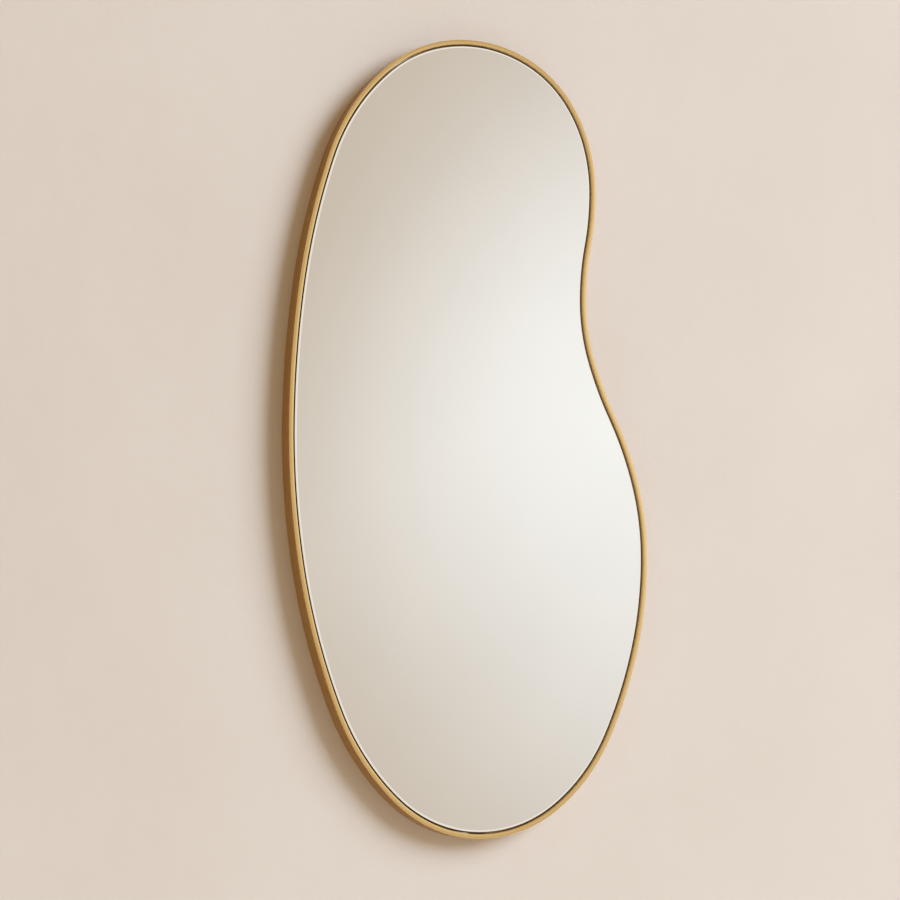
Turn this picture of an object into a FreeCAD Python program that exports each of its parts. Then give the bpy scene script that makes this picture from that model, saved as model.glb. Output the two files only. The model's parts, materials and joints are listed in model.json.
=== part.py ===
import FreeCAD, Part
import math
import os
import Sketcher

from FreeCAD import Placement, Rotation, Vector

# Irregular wall mirror: a pebble-shaped glass in a closed flat-bar rim, backed by a board that hangs on two
# D-ring hangers. Millimetres. +X is to the right and +Z up as seen from the front, and the front faces -Y.
# The origin lies on the wall plane, midway between the outline's highest, lowest, leftmost and rightmost points.

sizes = {
    # Rim's outer outline: points where it runs straight up, down or across, and five points between them.
    # "across" is measured to the right of the middle, "up" above it, and "heading" is the direction of travel
    # in degrees from straight right, going clockwise round the outline.
    "width": 450,
    "height": 900,
    "crown_across": 9,
    "brow_across": 129,
    "brow_up": 392.5,
    "brow_heading": -54,
    "shoulder_across": 160,
    "shoulder_up": 292,
    "waist_across": 146,
    "waist_up": 157,
    "flank_across": 183.5,
    "flank_up": 27.5,
    "flank_heading": -62,
    "belly_up": -130,
    "hip_across": 174,
    "hip_up": -338,
    "hip_heading": -116.5,
    "foot_across": 8,
    "heel_across": -167,
    "heel_up": -313.5,
    "heel_heading": 113,
    "back_up": -10,
    "neck_across": -180,
    "neck_up": 294.5,
    "neck_heading": 71.5,
    # Rim: a flat bar on edge, bent to the outline and welded shut.
    "rim_face": 5,
    "rim_depth": 20,
    "rim_edge_round": 0.8,
    "rim_back_round": 0.3,
    # Glass: float glass, silvered behind, with a polished arris, set back a little behind the rim's front.
    "glass_thickness": 4,
    "glass_setback": 1.2,
    "glass_gap": 2,
    "arris": 1.5,
    "film_thickness": 0.2,
    "film_margin": 1,
    # Adhesive tape between film and board, in upright strips.
    "tape_thickness": 1,
    "tape_width": 25,
    "tape_spacing": 95,
    "upper_tape_length": 180,
    "upper_tape_across": -35,
    "upper_tape_up": 250,
    "lower_tape_length": 300,
    "lower_tape_across": 5,
    "lower_tape_up": -170,
    # Backing board, inside the rim.
    "board_thickness": 6,
    "board_gap": 0.8,
    # Lugs: plates welded inside the rim, behind the board, with one screw each.
    "lug_length": 20,
    "lug_reach": 16,
    "lug_thickness": 2,
    "lug_corner": 3,
    "lug_weld": 2.5,
    "lug_hole_inset": 10,
    # Pan-head screws with a cross recess.
    "screw_radius": 1.6,
    "screw_bite": 4.2,
    "screw_tip": 1.4,
    "screw_tip_radius": 0.4,
    "screw_head_radius": 3.2,
    "screw_head_edge": 0.9,
    "screw_head_height": 2.1,
    "screw_fit": 0.2,
    "recess_length": 3.4,
    "recess_width": 0.9,
    "recess_depth": 1.2,
    # Hangers: a strap folded round a D-shaped wire ring and screwed down with two screws.
    "hanger_spacing": 200,
    "hanger_across": -6,
    "hanger_up": 235,
    "strap_thickness": 1,
    "strap_width": 14,
    "strap_length": 44,
    "strap_end_round": 6,
    "strap_slope": 35,
    "strap_hole_inset": 7,
    "strap_hole_spacing": 15,
    "ring_wire_radius": 1.25,
    "ring_fit": 0.06,
    "ring_side_gap": 0.4,
    "ring_corner": 2.2,
    "ring_leg": 3.5,
    # Rubber bumpers on the board, which rest on the wall and hold the rim just off it.
    "wall_gap": 1,
    "bumper_radius": 6.5,
    "bumper_tip_radius": 5.4,
    "bumper_round": 1.2,
    "upper_bumper_across": 66,
    "upper_bumper_middle": -16,
    "upper_bumper_up": 352,
    "lower_bumper_across": 105,
    "lower_bumper_middle": 4,
    "lower_bumper_up": -330,
}

doc = FreeCAD.newDocument("IrregularMirror")
sheet = doc.addObject("Spreadsheet::Sheet", "Sizes")
for row, (name, number) in enumerate(sizes.items(), start=1):
    sheet.set("A%d" % row, name)
    sheet.set("B%d" % row, str(number))
    sheet.setAlias("B%d" % row, name)
doc.recompute()

# Distances in front of the wall, each seat taken from the one before it.
rimBack = "Sizes.wall_gap"
rimFront = rimBack + " + Sizes.rim_depth"
glassFront = rimFront + " - Sizes.glass_setback"
glassBack = glassFront + " - Sizes.glass_thickness"
filmBack = glassBack + " - Sizes.film_thickness"
tapeBack = filmBack + " - Sizes.tape_thickness"
boardBack = tapeBack + " - Sizes.board_thickness"
lugBack = boardBack + " - Sizes.lug_thickness"
strapBack = boardBack + " - 2 * Sizes.strap_thickness"
ringPivot = boardBack + " - Sizes.strap_thickness - Sizes.ring_wire_radius - Sizes.ring_fit"

near = 1e-4
fullTurn = 360
subParts = []


def size(name):
    return float(sheet.get(name))


def bind(target, formulas):
    for path, formula in formulas.items():
        target.setExpression(path, formula)


# ---- the outline, as tangent arcs -----------------------------------------------------------------------------

def flat(across, up):
    return Vector(across, up, 0)


def direction(degrees):
    return Vector(math.cos(math.radians(degrees)), math.sin(math.radians(degrees)), 0)


def inwards(heading):
    # The inside lies to the right of a clockwise walk.
    return Vector(heading.y, -heading.x, 0)


def outlineStations():
    halfWidth = size("width") / 2
    halfHeight = size("height") / 2
    right, down, left, up = 0, -90, 180, 90

    def between(name):
        return flat(size(name + "_across"), size(name + "_up")), direction(size(name + "_heading"))

    return {
        "crown": (flat(size("crown_across"), halfHeight), direction(right)),
        "brow": between("brow"),
        "shoulder": (flat(size("shoulder_across"), size("shoulder_up")), direction(down)),
        "waist": (flat(size("waist_across"), size("waist_up")), direction(down)),
        "flank": between("flank"),
        "belly": (flat(halfWidth, size("belly_up")), direction(down)),
        "hip": between("hip"),
        "foot": (flat(size("foot_across"), -halfHeight), direction(left)),
        "heel": between("heel"),
        "back": (flat(-halfWidth, size("back_up")), direction(up)),
        "neck": between("neck"),
    }


def meetingPoint(start, leaving, end, arriving):
    # Where two arcs of equal tangent length, one from each end, meet along a common tangent.
    chord = end - start
    along = 2 * chord.dot(leaving + arriving)
    bend = 2 * (1 - leaving.dot(arriving))
    reach = 2 * chord.dot(chord) / (along + math.sqrt(along ** 2 + 4 * bend * chord.dot(chord)))
    return (start + leaving * reach + end - arriving * reach) / 2


def arcBetween(first, last, anchor, heading):
    # The arc from first to last that runs along heading at anchor, which is one of the two.
    other = last if anchor == first else first
    chord = other - anchor
    inner = inwards(heading)
    centre = anchor + inner * (chord.dot(chord) / (2 * chord.dot(inner)))
    bulges = (centre - anchor).dot(inner) > 0
    ends = (last, first) if bulges else (first, last)
    angles = [math.atan2(point.y - centre.y, point.x - centre.x) for point in ends]
    if angles[1] < angles[0]:
        angles[1] += math.radians(fullTurn)
    return centre, (anchor - centre).Length, angles, bulges


def outlineArcs():
    stops = list(stations.values())
    arcs = []
    for (start, leaving), (end, arriving) in zip(stops, stops[1:] + stops[:1]):
        middle = meetingPoint(start, leaving, end, arriving)
        arcs.append(arcBetween(start, middle, start, leaving))
        arcs.append(arcBetween(middle, end, end, arriving))
    return arcs


stations = outlineStations()
outline = outlineArcs()


def outlineEdges(inset):
    # The rim's outer outline moved inwards: bulging arcs shrink and the hollow ones grow, about the same centres.
    edges = []
    for centre, radius, angles, bulges in outline:
        moved = radius - inset if bulges else radius + inset
        edges.append(Part.ArcOfCircle(Part.Circle(centre, Vector(0, 0, 1), moved), *angles))
    return edges


# ---- helpers for bodies ---------------------------------------------------------------------------------------

def plane(body, role):
    return next(feature for feature in body.Origin.OriginFeatures if feature.Role == role)


def newBody(name):
    body = doc.addObject("PartDesign::Body", name)
    body.Label = name
    return body


def newSketch(body, name, role, geometry, distance=None):
    # distance is an expression: how far the sketch lies along its plane's own normal.
    sketch = body.newObject("Sketcher::SketchObject", name)
    sketch.AttachmentSupport = (plane(body, role), [""])
    sketch.MapMode = "FlatFace"
    if distance:
        sketch.setExpression("AttachmentOffset.Base.z", distance)
    for item in geometry:
        sketch.addConstraint(Sketcher.Constraint("Block", sketch.addGeometry(item)))
    return sketch


def polygon(corners):
    points = [Vector(across, up, 0) for across, up in corners]
    return [Part.LineSegment(a, b) for a, b in zip(points, points[1:] + points[:1])]


def newCircles(body, name, role, centres, radius, distance=None):
    # Circles at fixed centres, all with one radius from the sheet.
    sketch = newSketch(body, name, role, [], distance)
    for centre in centres:
        index = sketch.addGeometry(Part.Circle(centre, Vector(0, 0, 1), 1))
        sketch.addConstraint(Sketcher.Constraint("DistanceX", -1, 1, index, 3, centre.x))
        sketch.addConstraint(Sketcher.Constraint("DistanceY", -1, 1, index, 3, centre.y))
        number = sketch.addConstraint(Sketcher.Constraint("Radius", index, 1))
        sketch.setExpression("Constraints[%d]" % number, radius)
    return sketch


def newPad(body, name, sketch, length, symmetric=False):
    pad = body.newObject("PartDesign::Pad", name)
    pad.Profile = sketch
    pad.SideType = "Symmetric" if symmetric else "One side"
    pad.setExpression("Length", length)
    doc.recompute()
    return pad


def newPocket(body, name, sketch, depth=None, reversed=False):
    # Without a depth the pocket goes right through, both ways from its sketch.
    before = body.Tip.Shape.Volume
    pocket = body.newObject("PartDesign::Pocket", name)
    pocket.Profile = sketch
    pocket.Reversed = reversed
    if depth:
        pocket.setExpression("Length", depth)
    else:
        pocket.Type = "ThroughAll"
        pocket.SideType = "Symmetric"
    doc.recompute()
    if not pocket.Shape.Volume < before:
        raise RuntimeError(body.Label + ": " + name + " cuts nothing")
    return pocket


def newRound(body, name, picks, radius, kind="Fillet"):
    # Rounds, or with kind Chamfer bevels, the edges of the body so far that picks accepts.
    base = body.Tip
    chosen = ["Edge%d" % number for number, edge in enumerate(base.Shape.Edges, start=1) if picks(edge)]
    feature = body.newObject("PartDesign::" + kind, name)
    feature.Base = (base, chosen)
    feature.setExpression("Radius" if kind == "Fillet" else "Size", radius)
    doc.recompute()
    return feature


def atDepth(y):
    # Edges that lie in the plane at this y.
    return lambda edge: abs(edge.BoundBox.YMin - y) < near and abs(edge.BoundBox.YMax - y) < near


def keep(item):
    subParts.append(item)
    return item


def inset(*names):
    return sum(size(name) for name in names)


# ---- glass, board and what lies between them ------------------------------------------------------------------

def makeRim():
    body = newBody("frame_rim")
    edges = outlineEdges(0) + outlineEdges(size("rim_face"))
    sketch = newSketch(body, "rim_outline", "XZ_Plane", edges, rimBack)
    pad = newPad(body, "rim_bar", sketch, "Sizes.rim_depth")
    newRound(body, "rim_front_round", atDepth(pad.Shape.BoundBox.YMin), "Sizes.rim_edge_round")
    newRound(body, "rim_back_round", atDepth(pad.Shape.BoundBox.YMax), "Sizes.rim_back_round")
    return keep(body)


def makePlate(name, edge, back, thickness):
    # A sheet with the outline moved inwards by edge, standing on the plane that is back in front of the wall.
    body = newBody(name)
    sketch = newSketch(body, name + "_outline", "XZ_Plane", outlineEdges(edge), back)
    newPad(body, name + "_sheet", sketch, thickness)
    return keep(body)


def makeGlass():
    glass = makePlate("mirror_glass", inset("rim_face", "glass_gap"), glassBack, "Sizes.glass_thickness")
    newRound(glass, "front_arris", atDepth(glass.Shape.BoundBox.YMin), "Sizes.arris", "Chamfer")


def makeTape(name, middle, up, length, column):
    strip = doc.addObject("Part::Box", name)
    strip.Label = name
    bind(strip, {
        "Length": "Sizes.tape_width",
        "Width": "Sizes.tape_thickness",
        "Height": length,
        "Placement.Base.x": "%s + %d * Sizes.tape_spacing - Sizes.tape_width / 2" % (middle, column),
        "Placement.Base.y": "-(" + filmBack + ")",
        "Placement.Base.z": "%s - %s / 2" % (up, length),
    })
    return keep(strip)


def makeTapes():
    for number, column in enumerate((-1, 0, 1), start=1):
        for row in ("upper", "lower"):
            prefix = "Sizes." + row + "_tape_"
            name = "tape_%s_%d" % (row, number)
            makeTape(name, prefix + "across", prefix + "up", prefix + "length", column)


def makeBoard():
    board = makePlate("backing_board", inset("rim_face", "board_gap"), boardBack, "Sizes.board_thickness")
    holes = [lugHole(name) for name in luggedStations] + strapHoles(-1) + strapHoles(1)
    sketch = newCircles(board, "pilot_holes", "XZ_Plane", holes, "Sizes.screw_radius", boardBack)
    newPocket(board, "pilots", sketch)


# ---- lugs -----------------------------------------------------------------------------------------------------

luggedStations = ("crown", "shoulder", "waist", "belly", "hip", "foot", "heel", "back", "neck")


def insideRim(name, reach):
    # The point that lies this far inside the rim's inner wall at a station, and the outward direction there.
    point, heading = stations[name]
    inner = inwards(heading)
    return point + inner * (size("rim_face") + reach), -inner


def lugHole(name):
    return insideRim(name, size("lug_hole_inset"))[0]


def makeRimHollow():
    # The space inside the rim, which trims the lugs' outer ends to its wall.
    wire = Part.Wire([edge.toShape() for edge in outlineEdges(size("rim_face"))])
    hollow = doc.addObject("Part::Feature", "rim_hollow")
    tall = size("wall_gap") + size("rim_depth")
    block = Part.Face(wire).extrude(Vector(0, 0, tall))
    hollow.Shape = block
    hollow.Placement = Placement(Vector(0, 0, 0), Rotation(Vector(1, 0, 0), fullTurn / 4))
    return hollow


def makeLug(name, hollow):
    # In the lug's own frame the rim's wall is at z = 0, the board's back at y = 0, and the lug runs along x.
    body = newBody("plate_at_" + name)
    reach, thick, weld = size("lug_reach"), size("lug_thickness"), size("lug_weld")
    past = size("rim_face") / 2
    profile = [(0, past), (0, -reach), (thick, -reach), (thick, -weld), (thick + weld, 0), (thick + weld, past)]
    sketch = newSketch(body, "profile_" + name, "YZ_Plane", polygon(profile))
    newPad(body, "plate_" + name, sketch, "Sizes.lug_length", symmetric=True)

    def freeCorner(edge):
        box = edge.BoundBox
        return box.ZMax < near - reach and box.XLength < near and box.YLength > near

    newRound(body, "corners_" + name, freeCorner, "Sizes.lug_corner")
    centre = Vector(0, -size("lug_hole_inset"), 0)
    hole = newCircles(body, "hole_" + name, "XZ_Plane", [centre], "Sizes.screw_radius + Sizes.screw_fit")
    newPocket(body, "drilled_" + name, hole)
    wall, outward = insideRim(name, 0)
    turn = math.degrees(math.atan2(outward.x, outward.y))
    body.Placement = Placement(Vector(wall.x, 0, wall.y), Rotation(Vector(0, 1, 0), turn))
    bind(body, {"Placement.Base.y": "-(" + boardBack + ")"})
    lug = doc.addObject("Part::Common", "lug_" + name)
    lug.Label = "lug_" + name
    lug.Base = body
    lug.Tool = hollow
    return keep(lug)


# ---- screws ---------------------------------------------------------------------------------------------------

def makeScrew(name, grip):
    # One screw with its head's underside at the origin and its head towards +Y. grip is what it passes through
    # before it bites into the board.
    body = newBody(name)
    shank = inset("screw_bite") + grip
    radius, head = size("screw_radius"), size("screw_head_radius")
    edge, top = size("screw_head_edge"), size("screw_head_height")
    # The head's top is part of a ball whose centre lies on the axis.
    rise = top - edge
    ball = (head ** 2 + rise ** 2) / (2 * rise)
    half = math.asin(head / ball) / 2
    shoulder = Vector(ball * math.sin(half), top - ball + ball * math.cos(half), 0)
    crown = Part.Arc(Vector(head, edge, 0), shoulder, Vector(0, top, 0))
    corners = [(0, top), (0, -shank), (size("screw_tip_radius"), -shank), (radius, size("screw_tip") - shank)]
    corners += [(radius, 0), (head, 0), (head, edge)]
    sketch = newSketch(body, name + "_profile", "XY_Plane", polygon(corners)[:-1] + [crown])
    turned = body.newObject("PartDesign::Revolution", name + "_turned")
    turned.Profile = sketch
    turned.ReferenceAxis = (sketch, ["V_Axis"])
    turned.Angle = fullTurn
    doc.recompute()
    far, thin = size("recess_length") / 2, size("recess_width") / 2
    cross = [(far, -thin), (far, thin), (thin, thin), (thin, far), (-thin, far), (-thin, thin)]
    cross += [(-x, -z) for x, z in cross]
    recess = newSketch(body, name + "_recess", "XZ_Plane", polygon(cross), "-Sizes.screw_head_height")
    newPocket(body, name + "_cross", recess, "Sizes.recess_depth", reversed=True)
    return body


def makeScrewGroup(name, screw, seat, places):
    # The same screw at every place, head down on the face that is seat in front of the wall.
    group = doc.addObject("Part::Feature", name)
    group.Label = name
    copies = []
    for place in places:
        copy = screw.Shape.copy()
        copy.Placement = Placement(Vector(place.x, 0, place.y), Rotation())
        copies.append(copy)
    group.Shape = Part.makeCompound(copies)
    bind(group, {"Placement.Base.y": "-(" + seat + ")"})
    return keep(group)


# ---- hangers --------------------------------------------------------------------------------------------------

def hangerAcross(side):
    return "Sizes.hanger_across + %d * Sizes.hanger_spacing / 2" % side


def strapHoles(side):
    across = size("hanger_across") + side * size("hanger_spacing") / 2
    low = size("hanger_up") - size("strap_length") + size("strap_hole_inset")
    return [Vector(across, low, 0), Vector(across, low + size("strap_hole_spacing"), 0)]


def placeAtPivot(body, side):
    bind(body, {
        "Placement.Base.x": hangerAcross(side),
        "Placement.Base.y": "-(" + ringPivot + ")",
        "Placement.Base.z": "Sizes.hanger_up",
    })


def makeStrap(name, side):
    # The frame of a hanger has its origin on the ring's pivot, the board at -Y and the wall at +Y. The strap
    # starts flat on the board, goes up and round the wire, and comes back down onto itself.
    body = newBody(name)
    thick, bore = size("strap_thickness"), size("ring_wire_radius") + size("ring_fit")
    slope = math.radians(size("strap_slope"))
    leave = Vector(math.cos(slope), -math.sin(slope), 0)
    end = -size("strap_length")

    def fold(radius, inner):
        # From the board side over the wire to where the returning leg reaches the plane y = inner.
        over = Part.Arc(Vector(-radius, 0, 0), Vector(0, radius, 0), leave * radius)
        foot = Vector(inner, (inner * leave.x - radius) / -leave.y, 0)
        return over, Part.LineSegment(leave * radius, foot), foot

    outerArc, outerLeg, outerFoot = fold(bore + thick, thick - bore)
    innerArc, innerLeg, innerFoot = fold(bore, -bore)
    back = -bore - thick
    outside = [
        Part.LineSegment(Vector(back, end, 0), Vector(back, 0, 0)),
        outerArc,
        outerLeg,
        Part.LineSegment(outerFoot, Vector(thick - bore, end, 0)),
        Part.LineSegment(Vector(thick - bore, end, 0), Vector(back, end, 0)),
    ]
    eye = [innerArc, innerLeg, Part.LineSegment(innerFoot, Vector(-bore, 0, 0))]
    sketch = newSketch(body, name + "_fold", "YZ_Plane", outside + eye)
    newPad(body, name + "_strip", sketch, "Sizes.strap_width", symmetric=True)

    def freeCorner(edge):
        box = edge.BoundBox
        return box.ZMax < near + end and box.XLength < near and box.YLength > near

    newRound(body, name + "_end", freeCorner, "Sizes.strap_end_round")
    low = size("strap_hole_inset") + end
    centres = [Vector(0, low, 0), Vector(0, low + size("strap_hole_spacing"), 0)]
    holes = newCircles(body, name + "_holes", "XZ_Plane", centres, "Sizes.screw_radius + Sizes.screw_fit")
    newPocket(body, name + "_drilled", holes)
    placeAtPivot(body, side)
    return keep(body)


def makeRing(name, side):
    # A closed D of round wire: a straight bar in the strap's eye, two corners just outside it, two legs and a
    # half circle.
    body = newBody(name)
    half = size("strap_width") / 2 + size("ring_side_gap") + size("ring_corner")
    corner, top = size("ring_corner"), size("ring_corner") + size("ring_leg")
    bend = corner * math.sin(math.radians(fullTurn / 8))

    def cornerArc(side):
        middle = Vector(side * (half - corner + bend), corner - bend, 0)
        return Part.Arc(Vector(side * (half - corner), 0, 0), middle, Vector(side * half, corner, 0))

    path = [
        Part.LineSegment(Vector(0, 0, 0), Vector(half - corner, 0, 0)),
        cornerArc(1),
        Part.LineSegment(Vector(half, corner, 0), Vector(half, top, 0)),
        Part.Arc(Vector(half, top, 0), Vector(0, top + half, 0), Vector(-half, top, 0)),
        Part.LineSegment(Vector(-half, top, 0), Vector(-half, corner, 0)),
        cornerArc(-1),
        Part.LineSegment(Vector(corner - half, 0, 0), Vector(0, 0, 0)),
    ]
    spine = newSketch(body, name + "_path", "XZ_Plane", path)
    section = newCircles(body, name + "_wire", "YZ_Plane", [Vector(0, 0, 0)], "Sizes.ring_wire_radius")
    pipe = body.newObject("PartDesign::AdditivePipe", name + "_bent")
    pipe.Profile = section
    pipe.Spine = spine
    doc.recompute()
    placeAtPivot(body, side)
    return keep(body)


# ---- bumpers --------------------------------------------------------------------------------------------------

def makeBumper(name, row, side):
    body = newBody(name)
    foot = body.newObject("PartDesign::AdditiveCone", name + "_foot")
    bind(foot, {"Radius1": "Sizes.bumper_radius", "Radius2": "Sizes.bumper_tip_radius", "Height": boardBack})
    doc.recompute()
    tip = foot.Shape.BoundBox.ZMax
    newRound(body, name + "_tip", lambda edge: edge.BoundBox.ZMin > tip - near, "Sizes.bumper_round")
    body.Placement = Placement(Vector(0, 0, 0), Rotation(Vector(1, 0, 0), -fullTurn / 4))
    bind(body, {
        "Placement.Base.x": "Sizes.%s_bumper_middle + %d * Sizes.%s_bumper_across" % (row, side, row),
        "Placement.Base.y": "-(" + boardBack + ")",
        "Placement.Base.z": "Sizes.%s_bumper_up" % row,
    })
    return keep(body)


# ---- the whole mirror -----------------------------------------------------------------------------------------

makeRim()
makeGlass()
makePlate("safety_film", inset("rim_face", "glass_gap", "film_margin"), filmBack, "Sizes.film_thickness")
makeTapes()
makeBoard()
rimHollow = makeRimHollow()
for station in luggedStations:
    makeLug(station, rimHollow)
lugScrew = makeScrew("lug_screw", size("lug_thickness"))
strapScrew = makeScrew("strap_screw", 2 * size("strap_thickness"))
makeScrewGroup("lug_screws", lugScrew, lugBack, [lugHole(name) for name in luggedStations])
makeScrewGroup("hanger_screws", strapScrew, strapBack, strapHoles(-1) + strapHoles(1))
for hangerSide, side in (("left", -1), ("right", 1)):
    makeStrap("hanger_strap_" + hangerSide, side)
    makeRing("hanger_ring_" + hangerSide, side)
    for row in ("upper", "lower"):
        makeBumper("bumper_%s_%s" % (row, hangerSide), row, side)

doc.recompute()
for item in doc.Objects:
    if "Invalid" in item.State or "Error" in item.State:
        raise RuntimeError(item.Label + " failed: " + ", ".join(item.State))

for item in subParts:
    if item.Shape.isNull() or not item.Shape.isValid() or not item.Shape.Solids:
        raise RuntimeError(item.Label + " has no sound solid")

os.makedirs("parts", exist_ok=True)
for item in subParts:
    item.Shape.exportStep("parts/" + item.Label + ".step")
    print("%s: %d solids, %.0f mm3" % (item.Label, len(item.Shape.Solids), item.Shape.Volume))
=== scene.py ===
import json
import math

import bpy
from mathutils import Matrix, Vector

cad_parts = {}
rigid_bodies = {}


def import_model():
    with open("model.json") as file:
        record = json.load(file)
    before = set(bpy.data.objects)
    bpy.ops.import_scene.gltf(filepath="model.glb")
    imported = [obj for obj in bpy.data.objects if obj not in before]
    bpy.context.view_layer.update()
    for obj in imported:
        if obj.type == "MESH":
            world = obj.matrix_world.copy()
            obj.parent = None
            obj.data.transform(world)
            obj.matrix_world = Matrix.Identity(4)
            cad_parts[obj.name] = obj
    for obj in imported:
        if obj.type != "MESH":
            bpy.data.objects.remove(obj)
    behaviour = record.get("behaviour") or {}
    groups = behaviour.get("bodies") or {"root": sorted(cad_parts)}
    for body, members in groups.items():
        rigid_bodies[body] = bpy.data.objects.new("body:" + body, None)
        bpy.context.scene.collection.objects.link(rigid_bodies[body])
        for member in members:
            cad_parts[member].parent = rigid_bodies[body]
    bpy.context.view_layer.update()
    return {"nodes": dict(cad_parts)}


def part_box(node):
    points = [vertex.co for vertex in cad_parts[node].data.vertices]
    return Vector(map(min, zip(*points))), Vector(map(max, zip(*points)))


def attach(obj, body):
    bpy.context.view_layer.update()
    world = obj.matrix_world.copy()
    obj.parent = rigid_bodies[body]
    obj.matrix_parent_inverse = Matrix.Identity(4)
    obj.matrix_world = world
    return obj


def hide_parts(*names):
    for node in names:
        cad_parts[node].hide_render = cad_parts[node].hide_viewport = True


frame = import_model()
nodes = frame["nodes"]
print("frame loaded:", len(nodes), "nodes")

millimetre = 0.001
same = 2e-5  # how near two depths are when they count as one
merged = 1e-6  # how near two points are when they become one


# Helpers for nodes and for picking what an operator acts on.

def linear(code, alpha=1.0):
    # An sRGB hex value as the linear colour that sockets take.
    parts = [int(code[i:i + 2], 16) / 255 for i in (1, 3, 5)]
    return [c / 12.92 if c <= 0.04045 else ((c + 0.055) / 1.055) ** 2.4 for c in parts] + [alpha]


def addNode(tree, kind, settings=None, links=None):
    # Sockets go by name or identifier, anything else set is one of the node's own properties, and a link
    # comes from a node's first output in use or from (node, "output").
    node = tree.nodes.new("ShaderNode" + kind)
    for name, value in (settings or {}).items():
        found = [s for s in node.inputs if name in (s.identifier, s.name)]
        if found:
            found[0].default_value = value
        else:
            setattr(node, name, value)
    for name, source in (links or {}).items():
        if isinstance(source, tuple):
            output = next(s for s in source[0].outputs if s.name == source[1])
        else:
            output = next(s for s in source.outputs if s.enabled)
        tree.links.new(output, next(s for s in node.inputs if name in (s.identifier, s.name)))
    return node


def newMaterial(name):
    material = bpy.data.materials.new(name)
    material.use_nodes = True
    material.node_tree.nodes.clear()
    return material, material.node_tree


def pickOnly(piece):
    for other in bpy.context.selected_objects:
        other.select_set(False)
    piece.select_set(True)
    bpy.context.view_layer.objects.active = piece


def editMode(on):
    bpy.ops.object.mode_set(mode="EDIT" if on else "OBJECT")


def pick(piece, part, wanted):
    # Selects the vertices, edges or faces that wanted accepts, and ends in edit mode.
    editMode(True)
    bpy.ops.mesh.select_mode(type={"vertices": "VERT", "edges": "EDGE", "polygons": "FACE"}[part])
    bpy.ops.mesh.select_all(action="DESELECT")
    editMode(False)
    for item in getattr(piece.data, part):
        item.select = bool(wanted(item))
    editMode(True)


def edgeMiddle(piece, edge):
    first, last = (piece.data.vertices[i].co for i in edge.vertices)
    return (first + last) / 2


def copyOfNode(nodeName, pieceName):
    # A CAD node's mesh as a piece of its own, with its loose triangles merged.
    piece = bpy.data.objects.new(pieceName, nodes[nodeName].data.copy())
    piece.data.materials.clear()
    bpy.context.scene.collection.objects.link(piece)
    pickOnly(piece)
    editMode(True)
    bpy.ops.mesh.select_all(action="SELECT")
    bpy.ops.mesh.customdata_custom_splitnormals_clear()
    bpy.ops.mesh.remove_doubles(threshold=merged)
    editMode(False)
    return piece


def smoothOutline(nodeName, depth, pieceName, steps):
    # The node's outermost loop at one depth, as a closed curve that runs smoothly through its points.
    piece = copyOfNode(nodeName, pieceName)
    pick(piece, "vertices", lambda v: abs(v.co.y - depth) > same)
    bpy.ops.mesh.delete(type="VERT")
    editMode(False)
    rightmost = max(piece.data.vertices, key=lambda v: v.co.x).index
    pick(piece, "vertices", lambda v: v.index == rightmost)
    bpy.ops.mesh.select_linked()
    bpy.ops.mesh.select_all(action="INVERT")
    bpy.ops.mesh.delete(type="VERT")
    editMode(False)
    bpy.ops.object.convert(target="CURVE")
    editMode(True)
    bpy.ops.curve.select_all(action="SELECT")
    bpy.ops.curve.spline_type_set(type="BEZIER")
    bpy.ops.curve.handle_type_set(type="AUTOMATIC")
    editMode(False)
    piece.data.resolution_u = steps
    return piece


def toMesh(piece):
    pickOnly(piece)
    bpy.ops.object.convert(target="MESH")
    return bpy.context.view_layer.objects.active


def faceOutwards(piece):
    pickOnly(piece)
    editMode(True)
    bpy.ops.mesh.select_all(action="SELECT")
    bpy.ops.mesh.remove_doubles(threshold=merged)
    bpy.ops.mesh.normals_make_consistent(inside=False)
    editMode(False)


def settle(piece, body, slotName, *stoodFor):
    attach(piece, body)
    if stoodFor:
        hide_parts(*stoodFor)


# Camera at the photograph's angle: from the left and a little below, looking slightly up.

photoView = dict(
    azimuth=-27.5,
    elevation=-7.8,
    lens=88,
    sensor=36,
    distance=2.454,
    target=(0, -0.021, 0),
    slideRight=-0.028,
    slideUp=-0.0227,
)


def makeCamera(view):
    azimuth, elevation = math.radians(view["azimuth"]), math.radians(view["elevation"])
    back = Vector((math.sin(azimuth) * math.cos(elevation), -math.cos(azimuth) * math.cos(elevation),
                   math.sin(elevation)))
    right = Vector((0, 0, 1)).cross(back).normalized()
    up = back.cross(right)
    data = bpy.data.cameras.new("photoCamera")
    data.lens = view["lens"]
    data.sensor_width = view["sensor"]
    camera = bpy.data.objects.new("photoCamera", data)
    place = Vector(view["target"]) + back * view["distance"]
    place += right * view["slideRight"] + up * view["slideUp"]
    camera.matrix_world = Matrix.Translation(place) @ Matrix((right, up, back)).transposed().to_4x4()
    bpy.context.scene.collection.objects.link(camera)
    bpy.context.scene.camera = camera


makeCamera(photoView)
bpy.context.scene.view_settings.view_transform = "Standard"
print("camera set")


# Materials.

brass = dict(
    brushed=dict(name="lacquered_brass", colour="#F0D39A", shade="#E6C486", roughness=(0.18, 0.28)),
    # The drawn tones are darker than the brushed ones: painted shade on the rim's outer wall.
    drawn=dict(name="drawn_brass", colour="#D9B378", shade="#D1AB6E", roughness=(0.18, 0.28)),
    pickled=dict(name="pickled_brass", colour="#EED49F", shade="#E0BF83", roughness=(0.6, 0.75)),
    scratchLength=40 * millimetre,
    scratchWidth=0.45 * millimetre,  # grit 180 leaves lines near 0.1 mm, drawn coarser so that they show
    scratchDepth=0.012 * millimetre,
    relief=0.6,
    strokeLength=1000 / 6 * millimetre,
    strokeWidth=1000 / 300 * millimetre,
    spreadAcross=0.5,  # how much wider light spreads across the lines than along them
    quarterTurn=0.25,  # lays the wide side of the highlight across the lines
)


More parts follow.
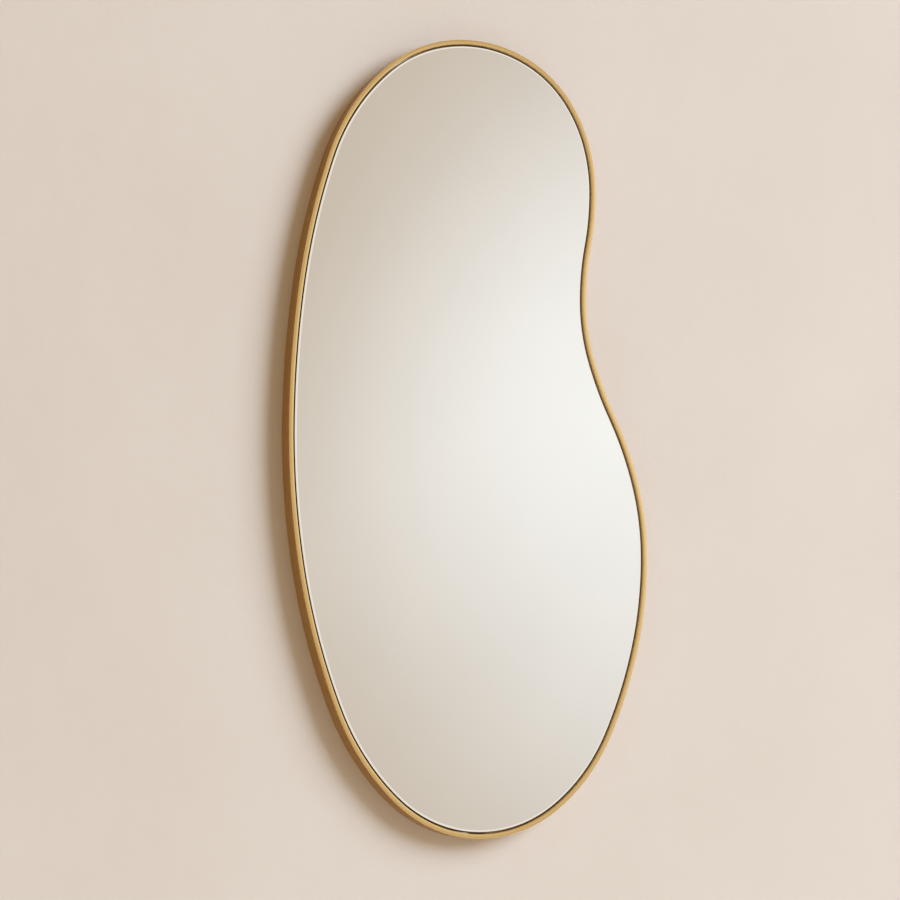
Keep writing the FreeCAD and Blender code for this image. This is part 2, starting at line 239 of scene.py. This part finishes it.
def makeBrass(finish, look):
    # Lacquered brass: rolled bar, ground along its length with grit 180. Fine lines run along the bar, so
    # light spreads across it in a soft band, and the tone wanders a little from one stroke to the next.
    # Drawn brass: the same bar's outer wall, painted darker and browner as painted shade.
    # Pickled brass: its inner wall, cleaned with acid after brazing and left so, which is pale and matt.
    tones = look[finish]
    material, tree = newMaterial(tones["name"])
    uv = addNode(tree, "UVMap", {"uv_map": "UVMap"})
    lines = addNode(tree, "Mapping", {"Scale": (1 / look["scratchLength"], 1 / look["scratchWidth"], 1)},
                    {"Vector": (uv, "UV")})
    fine = addNode(tree, "TexNoise", {"Scale": 1.0, "Detail": 3.0, "Roughness": 0.6}, {"Vector": lines})
    strokes = addNode(tree, "Mapping", {"Scale": (1 / look["strokeLength"], 1 / look["strokeWidth"], 1)},
                      {"Vector": (uv, "UV")})
    broad = addNode(tree, "TexNoise", {"Scale": 1.0, "Detail": 2.0}, {"Vector": strokes})
    tone = addNode(tree, "Mix", {"data_type": "RGBA", "A_Color": linear(tones["shade"]),
                                 "B_Color": linear(tones["colour"])}, {"Factor_Float": (broad, "Fac")})
    spread = addNode(tree, "MapRange", {"To Min": tones["roughness"][0], "To Max": tones["roughness"][1]},
                     {"Value": (fine, "Fac")})
    bump = addNode(tree, "Bump", {"Strength": look["relief"], "Distance": look["scratchDepth"]},
                   {"Height": (fine, "Fac")})
    along = addNode(tree, "Tangent", {"direction_type": "UV_MAP", "uv_map": "UVMap"})
    shader = addNode(tree, "BsdfPrincipled",
                     {"Metallic": 1.0, "Anisotropic": look["spreadAcross"],
                      "Anisotropic Rotation": look["quarterTurn"]},
                     {"Base Color": tone, "Roughness": spread, "Normal": bump, "Tangent": along})
    addNode(tree, "OutputMaterial", {}, {"Surface": shader})
    return material


speckle = dict(detail=4.0, roughness=0.6, relief=0.8)


def makeSpeckled(name, tones, roughness, grain, depth, metallic=0.0, **shaderSettings):
    # One surface with a grain of this size: tone, from dark to light, gloss and relief all follow it.
    material, tree = newMaterial(name)
    place = addNode(tree, "TexCoord")
    mapped = addNode(tree, "Mapping", {"Scale": [1 / grain] * 3}, {"Vector": (place, "Object")})
    noise = addNode(tree, "TexNoise", {"Scale": 1.0, "Detail": speckle["detail"],
                                       "Roughness": speckle["roughness"]}, {"Vector": mapped})
    tone = addNode(tree, "Mix", {"data_type": "RGBA", "A_Color": linear(tones[0]),
                                 "B_Color": linear(tones[1])}, {"Factor_Float": (noise, "Fac")})
    gloss = addNode(tree, "MapRange", {"To Min": roughness[0], "To Max": roughness[1]},
                    {"Value": (noise, "Fac")})
    bump = addNode(tree, "Bump", {"Strength": speckle["relief"], "Distance": depth},
                   {"Height": (noise, "Fac")})
    shader = addNode(tree, "BsdfPrincipled", dict(shaderSettings, Metallic=metallic),
                     {"Base Color": tone, "Roughness": gloss, "Normal": bump})
    addNode(tree, "OutputMaterial", {}, {"Surface": shader})
    return material


# Rim: a bar of rounded section swept round the outline.

rimBar = dict(
    width=5 * millimetre,
    depth=20 * millimetre,
    frontRound=0.8 * millimetre,
    backRound=0.3 * millimetre,
    roundSteps=5,
    stepsPerPoint=4,
    sharpAngle=35,
)


def makeSection(bar):
    # In a curve's section x runs to the front and y outwards; the path lies where the back round meets the
    # outer wall.
    bpy.ops.mesh.primitive_plane_add(size=1, location=(0, 0, 0))
    section = bpy.context.object
    section.name = "rim_section"
    editMode(True)
    bpy.ops.transform.resize(value=(bar["depth"], bar["width"], 1))
    bpy.ops.transform.translate(value=(bar["depth"] / 2 - bar["backRound"], -bar["width"] / 2, 0))
    middle = bar["depth"] / 2
    pick(section, "vertices", lambda v: v.co.x > middle)
    bpy.ops.mesh.bevel(offset=bar["frontRound"], segments=bar["roundSteps"], affect="VERTICES")
    pick(section, "vertices", lambda v: v.co.x < 0)
    bpy.ops.mesh.bevel(offset=bar["backRound"], segments=bar["roundSteps"], affect="VERTICES")
    bpy.ops.mesh.select_all(action="SELECT")
    bpy.ops.mesh.delete(type="ONLY_FACE")
    editMode(False)
    bpy.ops.object.convert(target="CURVE")
    return bpy.context.object


def runningLengths(points):
    total, lengths = 0.0, [0.0]
    for first, last in zip(points, points[1:] + points[:1]):
        total += (last - first).length
        lengths.append(total)
    return lengths


def makeRim(bar, look):
    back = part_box("frame_rim")[1].y
    for other in bpy.context.selected_objects:
        other.select_set(False)
    section = makeSection(bar)
    corners = [p.co.to_3d() for p in section.data.splines[0].points]
    around = runningLengths(corners)
    finishes = ["brushed", "drawn", "pickled"]
    walls = []
    # The outer wall takes the drawn brass, whose darker tone is painted shade; the inner wall the pickled.
    for finish, across in (("drawn", 0), ("pickled", -bar["width"])):
        for k, corner in enumerate(corners):
            if abs(corner.y - across) < same and abs(corners[(k + 1) % len(corners)].y - across) < same:
                walls.append((around[k], around[k + 1], finishes.index(finish)))
    rim = smoothOutline("frame_rim", back - bar["backRound"], "rim", bar["stepsPerPoint"])
    path = rim.data.splines[0].bezier_points
    along = runningLengths([p.co for p in path])
    rim.data.bevel_mode = "OBJECT"
    rim.data.bevel_object = section
    rim = toMesh(rim)
    bpy.data.objects.remove(section)
    # The sweep numbers its map by points, so it is laid out again in metres: u along the bar, v round it.
    sides, stops = len(around) - 1, len(along) - 1
    for corner in rim.data.uv_layers[0].data:
        u, v = corner.uv
        stop, part = divmod(round(u * stops * bar["stepsPerPoint"]), bar["stepsPerPoint"])
        nextStop = min(stop + 1, stops)
        u = along[stop] + (along[nextStop] - along[stop]) * part / bar["stepsPerPoint"]
        corner.uv = (u, around[round(v * sides)])
    faceOutwards(rim)
    bpy.ops.object.shade_smooth_by_angle(angle=math.radians(bar["sharpAngle"]))
    rim.data.materials.clear()
    for finish in finishes:
        rim.data.materials.append(makeBrass(finish, look))
    for face in rim.data.polygons:
        middle = sum(rim.data.uv_layers[0].data[i].uv[1] for i in face.loop_indices) / face.loop_total
        face.material_index = next((finish for low, high, finish in walls if low < middle < high), 0)
    settle(rim, "mirror", "brushed_brass", "frame_rim")


makeRim(rimBar, brass)
print("rim made")


# Glass: a sheet whose front edge is rounded and polished, with a painted glow on its polished facets and
# painted shade on its dark outermost facet.

glass = dict(
    arris=2.2 * millimetre,
    arrisSteps=3,
    sharpAngle=10,
    stepsPerPoint=4,
    silver=("#F1F1F2", "#F7F6F6"),
    silverRoughness=(0.01, 0.03),
    haze=1000 / 9 * millimetre,
    ripple=200 * millimetre,
    rippleDepth=0.02 * millimetre,
    rippleRelief=0.5,
    arrisLight=0.8,
    arrisGlow="#F3EBE0",
    turns=(-0.99, -0.5, 0.5),  # y of the normal where silver turns to arris, arris to edge, edge to paint
)

glassLooks = dict(
    # Polished arris: the corner ground round and buffed. The glass itself gives back little; its fine white
    # line is painted light, an emission glow though it is no lamp, standing in for light caught inside the
    # sheet that leaves through it, so it shows from every side.
    arris=dict(name="polished_arris", tones=("#5A5C5A", "#666866"), roughness=(0.25, 0.4),
               grain=0.6 * millimetre, depth=0.004 * millimetre),
    # Ground edge: diamond-ground glass, matt, painted dark olive as painted shade beside the brass.
    edge=dict(name="ground_glass_edge", tones=("#35372D", "#45463B"), roughness=(0.35, 0.5),
              grain=0.5 * millimetre, depth=0.01 * millimetre),
    # Mirror back paint: grey lacquer curtain-coated over the silver, smooth with a faint cloud.
    paint=dict(name="mirror_back_paint", tones=("#6C7278", "#7C8288"), roughness=(0.45, 0.6),
               grain=2 * millimetre, depth=0.01 * millimetre),
)


def makeSilver(look):
    # Silvered float glass: a clear low-iron sheet, wet-silvered behind. It gives back a clean, neutral image
    # with the faint long ripple that the float bath leaves.
    material, tree = newMaterial("silvered_glass")
    place = addNode(tree, "TexCoord")
    haze = addNode(tree, "TexNoise", {"Scale": 1 / look["haze"], "Detail": 3.0},
                   {"Vector": (place, "Object")})
    tone = addNode(tree, "Mix", {"data_type": "RGBA", "A_Color": linear(look["silver"][0]),
                                 "B_Color": linear(look["silver"][1])}, {"Factor_Float": (haze, "Fac")})
    gloss = addNode(tree, "MapRange", {"To Min": look["silverRoughness"][0],
                                       "To Max": look["silverRoughness"][1]}, {"Value": (haze, "Fac")})
    ripple = addNode(tree, "TexNoise", {"Scale": 1 / look["ripple"], "Detail": 0.0},
                     {"Vector": (place, "Object")})
    bump = addNode(tree, "Bump", {"Strength": look["rippleRelief"], "Distance": look["rippleDepth"]},
                   {"Height": (ripple, "Fac")})
    shader = addNode(tree, "BsdfPrincipled", {"Metallic": 1.0},
                     {"Base Color": tone, "Roughness": gloss, "Normal": bump})
    addNode(tree, "OutputMaterial", {}, {"Surface": shader})
    return material


def makeGlass(sheet, looks):
    low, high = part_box("mirror_glass")
    piece = smoothOutline("mirror_glass", high.y, "glass", sheet["stepsPerPoint"])
    piece = toMesh(piece)
    editMode(True)
    bpy.ops.mesh.select_all(action="SELECT")
    bpy.ops.mesh.edge_face_add()
    bpy.ops.mesh.extrude_region_move(TRANSFORM_OT_translate={"value": (0, low.y - high.y, 0)})
    editMode(False)
    faceOutwards(piece)
    pick(piece, "edges", lambda e: edgeMiddle(piece, e).y < low.y + same)
    bpy.ops.mesh.bevel(offset=sheet["arris"], offset_type="OFFSET", segments=sheet["arrisSteps"],
                       affect="EDGES")
    editMode(False)
    bpy.ops.object.shade_smooth_by_angle(angle=math.radians(sheet["sharpAngle"]))
    # The arris glows by emission, though it is no lamp: painted light.
    glow = {"Emission Color": linear(sheet["arrisGlow"]), "Emission Strength": sheet["arrisLight"]}
    piece.data.materials.append(makeSilver(sheet))
    piece.data.materials.append(makeSpeckled(**looks["arris"], **glow))
    piece.data.materials.append(makeSpeckled(**looks["edge"]))
    piece.data.materials.append(makeSpeckled(**looks["paint"]))
    # Faces steeper than the arris, the outermost facet included, take the edge's painted shade.
    for face in piece.data.polygons:
        face.material_index = sum(face.normal.y >= turn for turn in sheet["turns"])
    settle(piece, "mirror", "mirror", "mirror_glass")


makeGlass(glass, glassLooks)
print("glass made")


# Materials of what lies behind the glass.

hiddenLooks = dict(
    # Polyethylene safety film: a milky sheet laid on with adhesive, so it is smooth with faint waves.
    film=dict(name="safety_film", tones=("#CBCED0", "#DADCDD"), roughness=(0.3, 0.45),
              grain=3 * millimetre, depth=0.02 * millimetre),
    # Closed-cell foam tape: matt white with cells of about half a millimetre.
    tape=dict(name="foam_tape", tones=("#D5D3CB", "#EAE9E3"), roughness=(0.7, 0.85),
              grain=0.5 * millimetre, depth=0.05 * millimetre),
    # Zinc-plated steel: pressed sheet with a thin bright coat, so it is bluish and slightly clouded.
    zinc=dict(name="zinc_plated_steel", tones=("#B0B6BD", "#D3D7DB"), roughness=(0.26, 0.42),
              grain=1.5 * millimetre, depth=0.006 * millimetre, metallic=1.0),
    # Bright zinc screw: cold-headed wire, tumbled and plated, a shade brighter than the sheet.
    screw=dict(name="bright_zinc_screw", tones=("#C2C6CA", "#E0E2E4"), roughness=(0.2, 0.34),
               grain=0.8 * millimetre, depth=0.004 * millimetre, metallic=1.0),
    # Nickel-plated wire: drawn round and polished, warm and glossy, with short marks from the drawing.
    ring=dict(name="nickel_plated_wire", tones=("#CDC7BB", "#E4DFD5"), roughness=(0.12, 0.24),
              grain=0.8 * millimetre, depth=0.003 * millimetre, metallic=1.0),
    # Moulded rubber: black-brown and matt, with the fine pits of the mould.
    rubber=dict(name="moulded_rubber", tones=("#292724", "#3A3834"), roughness=(0.55, 0.7),
                grain=0.4 * millimetre, depth=0.02 * millimetre),
    # Bronze braze: run in with a torch and wire-brushed, pale like the brass, duller where it cooled.
    braze=dict(name="bronze_braze", tones=("#BC9564", "#DDBE8E"), roughness=(0.3, 0.5),
               grain=1.2 * millimetre, depth=0.02 * millimetre, metallic=1.0),
)

fibreboard = dict(
    tone="#B79C78",
    toneDark="#A38762",
    fleck="#8A6D49",
    fleckLight="#CDB592",
    fibreLength=3.0 * millimetre,
    fibreWidth=0.35 * millimetre,  # real fibres are finer, drawn this coarse so that they show
    fibreDepth=0.04 * millimetre,
    fibreTurns=(25, 80, 140),  # degrees
    fibreRange=(0.56, 0.68),  # how strong the noise is where a fibre starts to show and where it is whole
    fibreShare=0.75,
    relief=0.5,
    roughness=0.8,
    shine=0.3,
    cloud=25 * millimetre,
)


def makeFibreboard(look):
    # Medium-density fibreboard: wood fibres pressed flat and sanded, so the face is matt and mottled, with
    # short light and dark fibres that lie every way.
    material, tree = newMaterial("fibreboard")
    place = addNode(tree, "TexCoord")
    mottled = addNode(tree, "TexNoise", {"Scale": 1 / look["cloud"], "Detail": 4.0},
                      {"Vector": (place, "Object")})
    tone = addNode(tree, "Mix", {"data_type": "RGBA", "A_Color": linear(look["toneDark"]),
                                 "B_Color": linear(look["tone"])}, {"Factor_Float": (mottled, "Fac")})
    across, long = 1 / look["fibreWidth"], 1 / look["fibreLength"]
    heights = []
    for turn, code in zip(look["fibreTurns"], (look["fleck"], look["fleckLight"], look["fleck"])):
        turned = addNode(tree, "Mapping",
                         {"vector_type": "TEXTURE", "Rotation": (0, math.radians(turn), 0)},
                         {"Vector": (place, "Object")})
        drawn = addNode(tree, "Mapping", {"Scale": (long, across, across)}, {"Vector": turned})
        fibres = addNode(tree, "TexNoise", {"Scale": 1.0, "Detail": 2.0, "Roughness": 0.5},
                         {"Vector": drawn})
        share = addNode(tree, "MapRange", {"From Min": look["fibreRange"][0],
                                           "From Max": look["fibreRange"][1],
                                           "To Max": look["fibreShare"]}, {"Value": (fibres, "Fac")})
        tone = addNode(tree, "Mix", {"data_type": "RGBA", "B_Color": linear(code)},
                       {"Factor_Float": share, "A_Color": tone})
        heights.append(share)
    raised = addNode(tree, "Math", {"operation": "ADD"}, {"Value": heights[0], "Value_001": heights[1]})
    bump = addNode(tree, "Bump", {"Strength": look["relief"], "Distance": look["fibreDepth"]},
                   {"Height": raised})
    shader = addNode(tree, "BsdfPrincipled",
                     {"Roughness": look["roughness"], "Specular IOR Level": look["shine"]},
                     {"Base Color": tone, "Normal": bump})
    addNode(tree, "OutputMaterial", {}, {"Surface": shader})
    return material


# Pressed steel: the lugs and straps with the rolled edges that stamping and tumbling leave.

pressed = dict(
    edgeRound=0.22 * millimetre,
    roundSteps=2,
    flatAngle=1,  # facets that meet at less than this are one face
    sharpAngle=40,
)


def rolledEdges(nodeName, pieceName, look):
    piece = copyOfNode(nodeName, pieceName)
    pick(piece, "vertices", lambda v: True)
    bpy.ops.mesh.dissolve_limited(angle_limit=math.radians(look["flatAngle"]))
    editMode(False)
    rounding = piece.modifiers.new("edges", "BEVEL")
    rounding.width = look["edgeRound"]
    rounding.segments = look["roundSteps"]
    rounding.limit_method = "ANGLE"
    rounding.angle_limit = math.radians(look["sharpAngle"])
    bpy.ops.object.modifier_apply(modifier=rounding.name)
    bpy.ops.object.shade_smooth_by_angle(angle=math.radians(look["sharpAngle"]))
    return piece


# Braze: a rippled bead run along each lug where it meets the rim.

braze = dict(
    length=21 * millimetre,
    radius=1.9 * millimetre,
    sunk=0.75 * millimetre,
    ripples=13,
    ripple=0.8,
    end=0.55,
    sides=3,
    sharpAngle=50,
    slope=(0.6, 0.8),  # y of the normal of the lug's slope, where the bead lies
)


def makeBead(look):
    # A rod along x whose thickness swells and shrinks once for every puddle of filler.
    bpy.ops.curve.primitive_nurbs_path_add(radius=look["length"] / 4)
    bead = bpy.context.object
    bead.name = "braze_beads"
    bpy.ops.object.transform_apply(location=True, rotation=True, scale=True)
    editMode(True)
    bpy.ops.curve.select_all(action="SELECT")
    bpy.ops.curve.subdivide(number_cuts=look["ripples"] // 2)
    editMode(False)
    spline = bead.data.splines[0]
    spline.order_u = 3
    spline.use_endpoint_u = True
    spline.resolution_u = 3
    last = len(spline.points) - 1
    for i, point in enumerate(spline.points):
        point.radius = look["end"] if i in (0, last) else (1.0 if i % 2 else look["ripple"])
    bead.data.dimensions = "3D"
    bead.data.bevel_depth = look["radius"]
    bead.data.bevel_resolution = look["sides"]
    bead.data.use_fill_caps = True
    return toMesh(bead)


def makeLugs(look, beadLook, finish):
    bead = makeBead(beadLook)
    beads = []
    low, high = beadLook["slope"]
    for name in [n for n in nodes if n.startswith("lug_") and n != "lug_screws"]:
        lug = rolledEdges(name, name.replace("lug", "plate"), look)
        slope = max((f for f in lug.data.polygons if low < f.normal.y < high), key=lambda f: f.area)
        normal, middle = slope.normal.copy(), slope.center.copy()
        run = Vector((0, 1, 0)).cross(normal).normalized()
        lug.data.materials.append(finish["zinc"])
        settle(lug, "mirror", "zinc_steel", name)
        laid = bead.copy()
        laid.data = bead.data.copy()
        bpy.context.scene.collection.objects.link(laid)
        turned = Matrix((run, normal, run.cross(normal))).transposed().to_4x4()
        laid.matrix_world = Matrix.Translation(middle - normal * beadLook["sunk"]) @ turned
        beads.append(laid)
    bpy.data.objects.remove(bead)
    pickOnly(beads[0])
    for laid in beads:
        laid.select_set(True)
    bpy.ops.object.join()
    joined = bpy.context.view_layer.objects.active
    joined.name = "braze_beads"
    bpy.ops.object.transform_apply(location=True, rotation=True, scale=True)
    faceOutwards(joined)
    bpy.ops.object.shade_smooth_by_angle(angle=math.radians(beadLook["sharpAngle"]))
    joined.data.materials.append(finish["braze"])
    settle(joined, "mirror", "brushed_brass")


hidden = {part: makeSpeckled(**look) for part, look in hiddenLooks.items()}
makeLugs(pressed, braze, hidden)
for side in ("left", "right"):
    strap = rolledEdges("hanger_strap_" + side, "strap_" + side, pressed)
    strap.data.materials.append(hidden["zinc"])
    settle(strap, "mirror", "zinc_steel", "hanger_strap_" + side)
print("lugs and straps made")

finishOf = {"tape": "tape", "lug_screws": "screw", "hanger_screws": "screw", "hanger_ring": "ring",
            "bumper": "rubber", "safety_film": "film", "backing_board": "board"}
hidden["board"] = makeFibreboard(fibreboard)
for name, node in nodes.items():
    for start, chosen in finishOf.items():
        if name.startswith(start):
            for place in node.material_slots:
                place.material = hidden[chosen]
print("nodes dressed")


# Stage: a plaster wall with an opening that the mirror hides, and a pale floor that fades out.

stage = dict(
    wallTone=("#DDD0C0", "#E6DBCD"),
    wallCloud=1000 / 3.2 * millimetre,
    floatMark=1000 / 28 * millimetre,
    floatDepth=1.2 * millimetre,
    wallRelief=0.35,
    wallRoughness=0.9,
    wallShine=0.2,
    wallSteps=2,
    openingScale=0.9955,
    wallSpread=14,
    floorTone=("#DCD3C6", "#E4DCD0"),
    floorCloud=250 * millimetre,
    floorRoughness=0.8,
    floorCorners=96,
    floorDrop=1.15,
    floorRadius=3.4,
    fadeFrom=1.6,
)


def makePlaster(look):
    # Smooth lime plaster: trowelled, with soft cloudy patches and a faint skin of float marks.
    material, tree = newMaterial("wall_plaster")
    place = addNode(tree, "TexCoord")
    clouds = addNode(tree, "TexNoise", {"Scale": 1 / look["wallCloud"], "Detail": 5.0, "Roughness": 0.55},
                     {"Vector": (place, "Object")})
    skin = addNode(tree, "TexNoise", {"Scale": 1 / look["floatMark"], "Detail": 6.0, "Roughness": 0.6},
                   {"Vector": (place, "Object")})
    tone = addNode(tree, "Mix", {"data_type": "RGBA", "A_Color": linear(look["wallTone"][0]),
                                 "B_Color": linear(look["wallTone"][1])}, {"Factor_Float": (clouds, "Fac")})
    bump = addNode(tree, "Bump", {"Strength": look["wallRelief"], "Distance": look["floatDepth"]},
                   {"Height": (skin, "Fac")})
    plaster = addNode(tree, "BsdfPrincipled",
                      {"Roughness": look["wallRoughness"], "Specular IOR Level": look["wallShine"]},
                      {"Base Color": tone, "Normal": bump})
    # Seen by the camera from behind it is clear, so that views of the back look through it.
    clear = addNode(tree, "BsdfTransparent")
    side = addNode(tree, "NewGeometry")
    path = addNode(tree, "LightPath")
    behind = addNode(tree, "Math", {"operation": "MULTIPLY"},
                     {"Value": (side, "Backfacing"), "Value_001": (path, "Is Camera Ray")})
    mixed = addNode(tree, "MixShader", {}, {"Fac": behind, "Shader": plaster, "Shader_001": clear})
    addNode(tree, "OutputMaterial", {}, {"Surface": mixed})
    return material


def makeWall(look):
    wall = smoothOutline("frame_rim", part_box("frame_rim")[1].y - rimBar["backRound"], "wall",
                         look["wallSteps"])
    wall = toMesh(wall)
    editMode(True)
    bpy.ops.mesh.select_all(action="SELECT")
    opening = (look["openingScale"], 0, look["openingScale"])
    bpy.ops.transform.resize(value=opening, center_override=(0, 0, 0))
    bpy.ops.mesh.extrude_edges_move()
    bpy.ops.transform.resize(value=[look["wallSpread"]] * 3, center_override=(0, 0, 0))
    editMode(False)
    if wall.data.polygons[0].normal.y > 0:
        wall.data.flip_normals()
    wall.data.materials.append(makePlaster(look))


def makeFloor(look):
    bpy.ops.mesh.primitive_circle_add(vertices=look["floorCorners"], radius=look["floorRadius"],
                                      fill_type="NGON", location=(0, 0, -look["floorDrop"]))
    floor = bpy.context.object
    floor.name = "floor"
    bpy.ops.object.transform_apply(location=True)
    # Matt painted floor, laid pale and plain, which thins out to nothing at its edge.
    material, tree = newMaterial("matt_floor")
    place = addNode(tree, "TexCoord")
    cloud = addNode(tree, "TexNoise", {"Scale": 1 / look["floorCloud"], "Detail": 4.0},
                    {"Vector": (place, "Object")})
    tone = addNode(tree, "Mix", {"data_type": "RGBA", "A_Color": linear(look["floorTone"][0]),
                                 "B_Color": linear(look["floorTone"][1])}, {"Factor_Float": (cloud, "Fac")})
    paint = addNode(tree, "BsdfPrincipled", {"Roughness": look["floorRoughness"]}, {"Base Color": tone})
    flatPlace = addNode(tree, "VectorMath", {"operation": "MULTIPLY", "Vector_001": (1, 1, 0)},
                        {"Vector": (place, "Object")})
    out = addNode(tree, "VectorMath", {"operation": "LENGTH"}, {"Vector": flatPlace})
    fade = addNode(tree, "MapRange", {"interpolation_type": "SMOOTHSTEP", "From Min": look["fadeFrom"],
                                      "From Max": look["floorRadius"]}, {"Value": out})
    clear = addNode(tree, "BsdfTransparent")
    mixed = addNode(tree, "MixShader", {}, {"Fac": fade, "Shader": paint, "Shader_001": clear})
    addNode(tree, "OutputMaterial", {}, {"Surface": mixed})
    floor.data.materials.append(material)


makeWall(stage)
makeFloor(stage)
print("stage made")


# Light: a warm surrounding, darker towards the left, with soft bright patches that the mirror and the metal
# give back, a broad cool lamp from the upper right, and a plain one behind the wall for the back.

room = dict(
    base=("#554735", "#E7CBA2"),  # what lights the plaster, towards the left and towards the right
    baseSeen="#CFC1AE",  # what the camera, metal and glass see
    patches=[
        dict(azimuth=32.9, elevation=7.8, reach=(0.211, 0.289), turn=-5, colour="#A0B1BC"),
        dict(azimuth=28.1, elevation=9.4, reach=(0.263, 0.108), turn=45, colour="#4E5457"),
        dict(azimuth=49.0, elevation=10.0, reach=(0.28, 0.5), turn=0, colour="#FAF7F0"),
        dict(azimuth=95.0, elevation=5.0, reach=(0.35, 0.3), turn=0, colour="#E8E4DC"),
    ],
)

lamps = dict(
    key=dict(place=(9.0, -7.0, 5.4), size=8.2, power=2150, colour="#D2E5FF", mirrored=False),
    back=dict(place=(-2.2, 2.2, 1.4), size=4.0, power=50, colour="#F4F7FF", mirrored=True),
)


def sideways(azimuth, elevation):
    # Directions out from the middle, to the right and up, seen from the middle.
    a, e = math.radians(azimuth), math.radians(elevation)
    out = Vector((math.sin(a) * math.cos(e), -math.cos(a) * math.cos(e), math.sin(e)))
    right = Vector((math.cos(a), math.sin(a), 0))
    return out, right, right.cross(-out)


def makeWorld(look):
    world = bpy.data.worlds.new("room")
    world.use_nodes = True
    tree = world.node_tree
    tree.nodes.clear()
    place = addNode(tree, "TexCoord")
    direction = addNode(tree, "SeparateXYZ", {}, {"Vector": (place, "Generated")})
    rightness = addNode(tree, "MapRange", {"From Min": -1.0, "From Max": 1.0}, {"Value": direction})
    shaded = addNode(tree, "Mix", {"data_type": "RGBA", "A_Color": linear(look["base"][0]),
                                   "B_Color": linear(look["base"][1])}, {"Factor_Float": rightness})
    path = addNode(tree, "LightPath")
    glossy = addNode(tree, "Math", {"operation": "MAXIMUM"},
                     {"Value": (path, "Is Glossy Ray"), "Value_001": (path, "Is Transmission Ray")})
    seen = addNode(tree, "Math", {"operation": "MAXIMUM"},
                   {"Value": (path, "Is Camera Ray"), "Value_001": glossy})
    tone = addNode(tree, "Mix", {"data_type": "RGBA", "B_Color": linear(look["baseSeen"])},
                   {"Factor_Float": seen, "A_Color": shaded})
    unseen = addNode(tree, "Math", {"operation": "SUBTRACT", "Value": 1.0},
                     {"Value_001": (path, "Is Camera Ray")})
    for patch in look["patches"]:
        out, right, up = sideways(patch["azimuth"], patch["elevation"])
        turn = math.radians(patch["turn"])
        long = right * math.cos(turn) + up * math.sin(turn)
        axes = Matrix((long, -out, long.cross(-out))).transposed()
        local = addNode(tree, "Mapping", {"vector_type": "TEXTURE", "Location": out,
                                          "Rotation": axes.to_euler(),
                                          "Scale": (patch["reach"][0], 1, patch["reach"][1])},
                        {"Vector": (place, "Generated")})
        away = addNode(tree, "VectorMath", {"operation": "LENGTH"}, {"Vector": local})
        near = addNode(tree, "MapRange", {"interpolation_type": "SMOOTHSTEP", "From Min": 1.0,
                                          "From Max": 0.0}, {"Value": away})
        share = addNode(tree, "Math", {"operation": "MULTIPLY"}, {"Value": near, "Value_001": unseen})
        tone = addNode(tree, "Mix", {"data_type": "RGBA", "blend_type": "ADD",
                                     "B_Color": linear(patch["colour"])},
                       {"Factor_Float": share, "A_Color": tone})
    glow = addNode(tree, "Background", {"Strength": 1.0}, {"Color": tone})
    addNode(tree, "OutputWorld", {}, {"Surface": glow})
    bpy.context.scene.world = world


def makeLamp(name, look):
    data = bpy.data.lights.new(name, "AREA")
    data.shape = "DISK"
    data.size = look["size"]
    data.energy = look["power"]
    data.color = linear(look["colour"])[:3]
    lamp = bpy.data.objects.new(name, data)
    lamp.location = look["place"]
    lamp.rotation_mode = "QUATERNION"
    lamp.rotation_quaternion = Vector(look["place"]).to_track_quat("Z", "Y")
    lamp.visible_glossy = look["mirrored"]
    bpy.context.scene.collection.objects.link(lamp)


makeWorld(room)
for lampName, look in lamps.items():
    makeLamp(lampName + "Lamp", look)
print("lights set")
